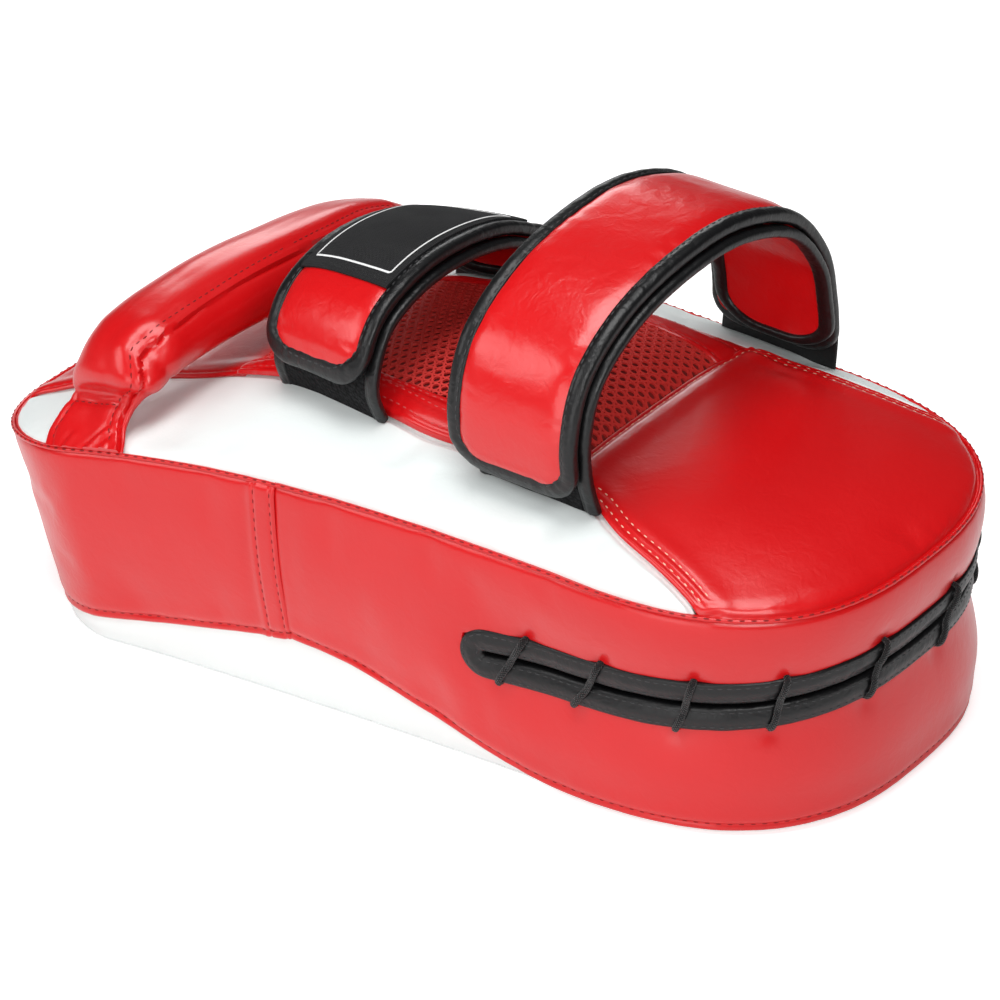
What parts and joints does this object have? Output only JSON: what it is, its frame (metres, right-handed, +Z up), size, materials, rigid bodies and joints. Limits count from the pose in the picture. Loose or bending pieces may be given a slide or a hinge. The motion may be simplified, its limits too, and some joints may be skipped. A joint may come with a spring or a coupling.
{
  "type": "kick pad",
  "caption": "Curved padded kick pad for the forearm with a padded handle, a mesh forearm cushion, hook and loop wrist and forearm straps and a laced elbow end.",
  "frame": {"origin": "on the floor under the middle of the overall length and width", "axes": "+X from the hand end to the rounded elbow end, +Z up from the striking face to the arm side, -Y the side where the straps close"},
  "size_m": [0.38, 0.2132, 0.1954],
  "materials": {
    "red_leather": "gloss",
    "white_leather": "satin",
    "black_leather": "satin",
    "loop_fabric": "matte",
    "mesh_fabric": "matte",
    "lace": "matte",
    "label": "matte",
    "foam": "matte"
  },
  "bodies": {
    "pad": {"front_panel": "white_leather", "wall_elbow": "red_leather", "wall_hand": "red_leather", "back_near": "white_leather", "back_far": "white_leather", "back_elbow": "red_leather", "back_hand": "red_leather", "forearm_mesh": "mesh_fabric", "forearm_band_near": "red_leather", "forearm_band_far": "red_leather", "forearm_foam": "foam", "foam_back": "foam", "foam_core": "foam", "foam_strike": "foam", "lace_facing": "black_leather", "lace_lining": "loop_fabric", "lace_cord": "lace", "handle_foot_near": "red_leather", "handle_foot_far": "red_leather", "wrist_tab": "loop_fabric", "wrist_tab_binding": "black_leather", "wrist_strap": "red_leather", "wrist_strap_binding": "black_leather", "wrist_anchor": "black_leather", "forearm_tab": "loop_fabric", "forearm_tab_binding": "black_leather", "forearm_strap": "red_leather", "forearm_strap_binding": "black_leather", "forearm_anchor": "black_leather"},
    "handle": {"handle_cover": "red_leather", "handle_core": "foam"},
    "wrist_flap": {"wrist_flap": "red_leather", "wrist_flap_binding": "black_leather", "wrist_hook": "loop_fabric", "wrist_label": "label"},
    "forearm_flap": {"forearm_flap": "red_leather", "forearm_flap_binding": "black_leather", "forearm_hook": "loop_fabric"}
  },
  "joints": [
    {"name": "handle_rock", "type": "hinge", "parent": "pad", "child": "handle", "pos_m": [-0.116, 0, 0.0974], "axis": [0.0599, 0.9982, 0], "range_deg": [-6, 6]},
    {"name": "wrist_flap_open", "type": "hinge", "parent": "pad", "child": "wrist_flap", "pos_m": [-0.04143, -0.00407, 0.16456], "axis": [-0.9886, 0.0172, -0.1495], "range_deg": [0, 100]},
    {"name": "forearm_flap_open", "type": "hinge", "parent": "pad", "child": "forearm_flap", "pos_m": [0.06344, 0.00645, 0.19532], "axis": [-0.9992, 0, 0.04], "range_deg": [0, 100]}
  ]
}
